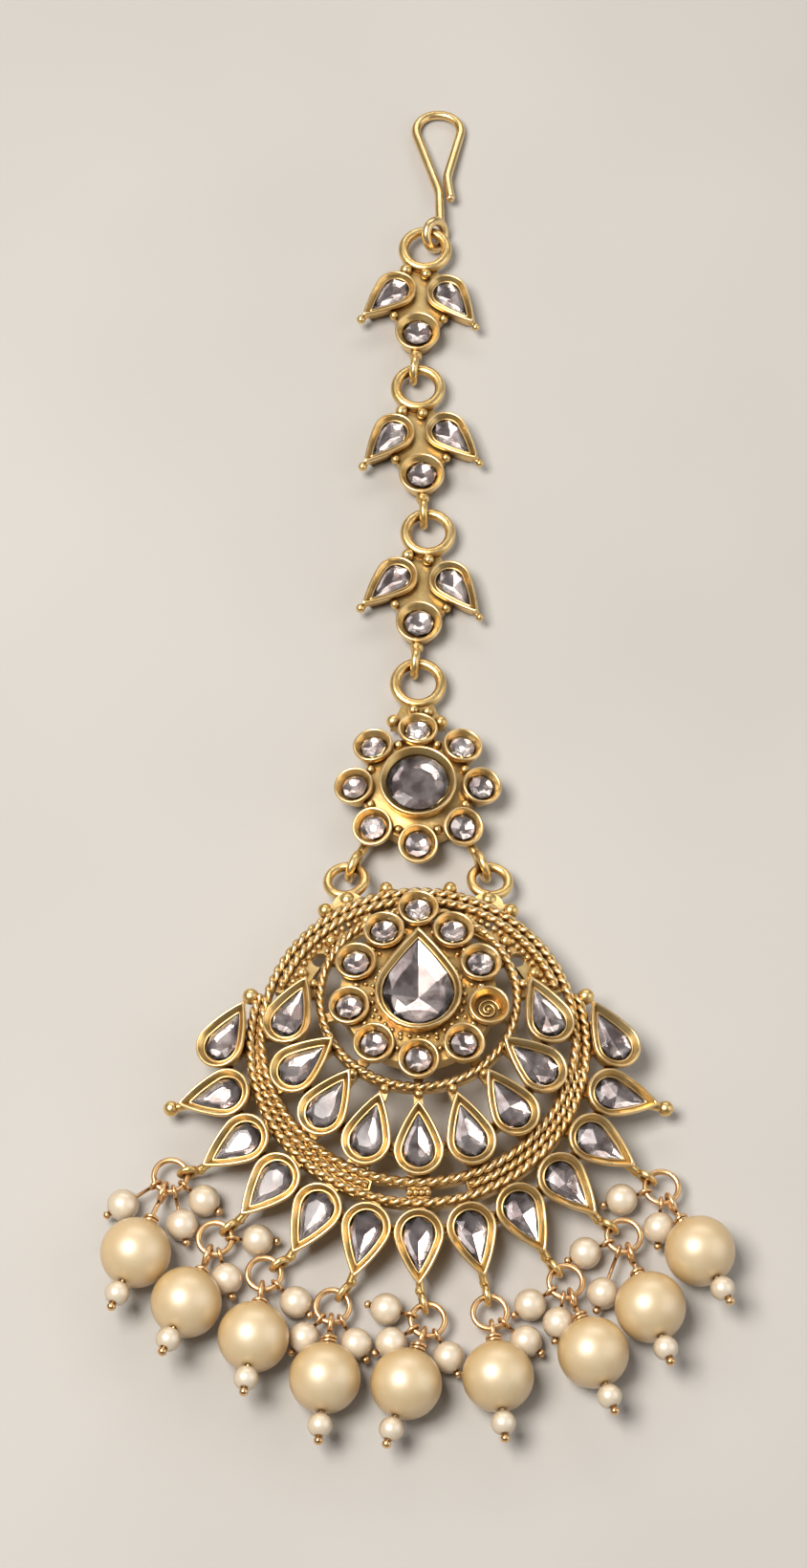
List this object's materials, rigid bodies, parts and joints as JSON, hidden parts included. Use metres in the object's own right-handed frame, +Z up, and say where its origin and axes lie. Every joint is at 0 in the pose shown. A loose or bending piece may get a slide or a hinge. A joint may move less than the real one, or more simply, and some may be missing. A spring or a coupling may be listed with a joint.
{
  "type": "maang tikka",
  "caption": "Forehead ornament lying face up: hair hook, leaf links, round flower setting and a domed pierced pendant with pearl drops.",
  "frame": {"origin": "on the surface that the piece lies on, under the middle of its bounding box", "axes": "+Z up, out of the ornament's front; +Y towards the hair hook; +X to the viewer's right"},
  "size_m": [0.0626, 0.16, 0.0084],
  "materials": {
    "pendant_gold": "satin antique gold plate",
    "chain_gold": "satin antique gold plate",
    "drop_gold": "satin gold plate",
    "crystal": "foil-backed cut glass",
    "pearl": "satin imitation pearl",
    "small_pearl": "satin imitation pearl"
  },
  "bodies": {
    "root": {"hair_hook": "chain_gold", "leaf_link_1": "chain_gold", "leaf_1_stones": "crystal", "leaf_link_2": "chain_gold", "leaf_2_stones": "crystal", "leaf_link_3": "chain_gold", "leaf_3_stones": "crystal", "flower_setting": "chain_gold", "flower_centre_stone": "crystal", "flower_petal_stones": "crystal", "pendant_frame": "pendant_gold", "pendant_centre_stone": "crystal", "halo_stones": "crystal", "inner_pear_stones": "crystal", "outer_pear_stones": "crystal", "drop_1_ring": "drop_gold", "drop_1_pearl": "pearl", "drop_1_small_pearls": "small_pearl", "drop_1_pins": "drop_gold", "drop_2_ring": "drop_gold", "drop_2_pearl": "pearl", "drop_2_small_pearls": "small_pearl", "drop_2_pins": "drop_gold", "drop_3_ring": "drop_gold", "drop_3_pearl": "pearl", "drop_3_small_pearls": "small_pearl", "drop_3_pins": "drop_gold", "drop_4_ring": "drop_gold", "drop_4_pearl": "pearl", "drop_4_small_pearls": "small_pearl", "drop_4_pins": "drop_gold", "drop_5_ring": "drop_gold", "drop_5_pearl": "pearl", "drop_5_small_pearls": "small_pearl", "drop_5_pins": "drop_gold", "drop_6_ring": "drop_gold", "drop_6_pearl": "pearl", "drop_6_small_pearls": "small_pearl", "drop_6_pins": "drop_gold", "drop_7_ring": "drop_gold", "drop_7_pearl": "pearl", "drop_7_small_pearls": "small_pearl", "drop_7_pins": "drop_gold", "drop_8_ring": "drop_gold", "drop_8_pearl": "pearl", "drop_8_small_pearls": "small_pearl", "drop_8_pins": "drop_gold", "drop_9_ring": "drop_gold", "drop_9_pearl": "pearl", "drop_9_small_pearls": "small_pearl", "drop_9_pins": "drop_gold"}
  },
  "joints": []
}
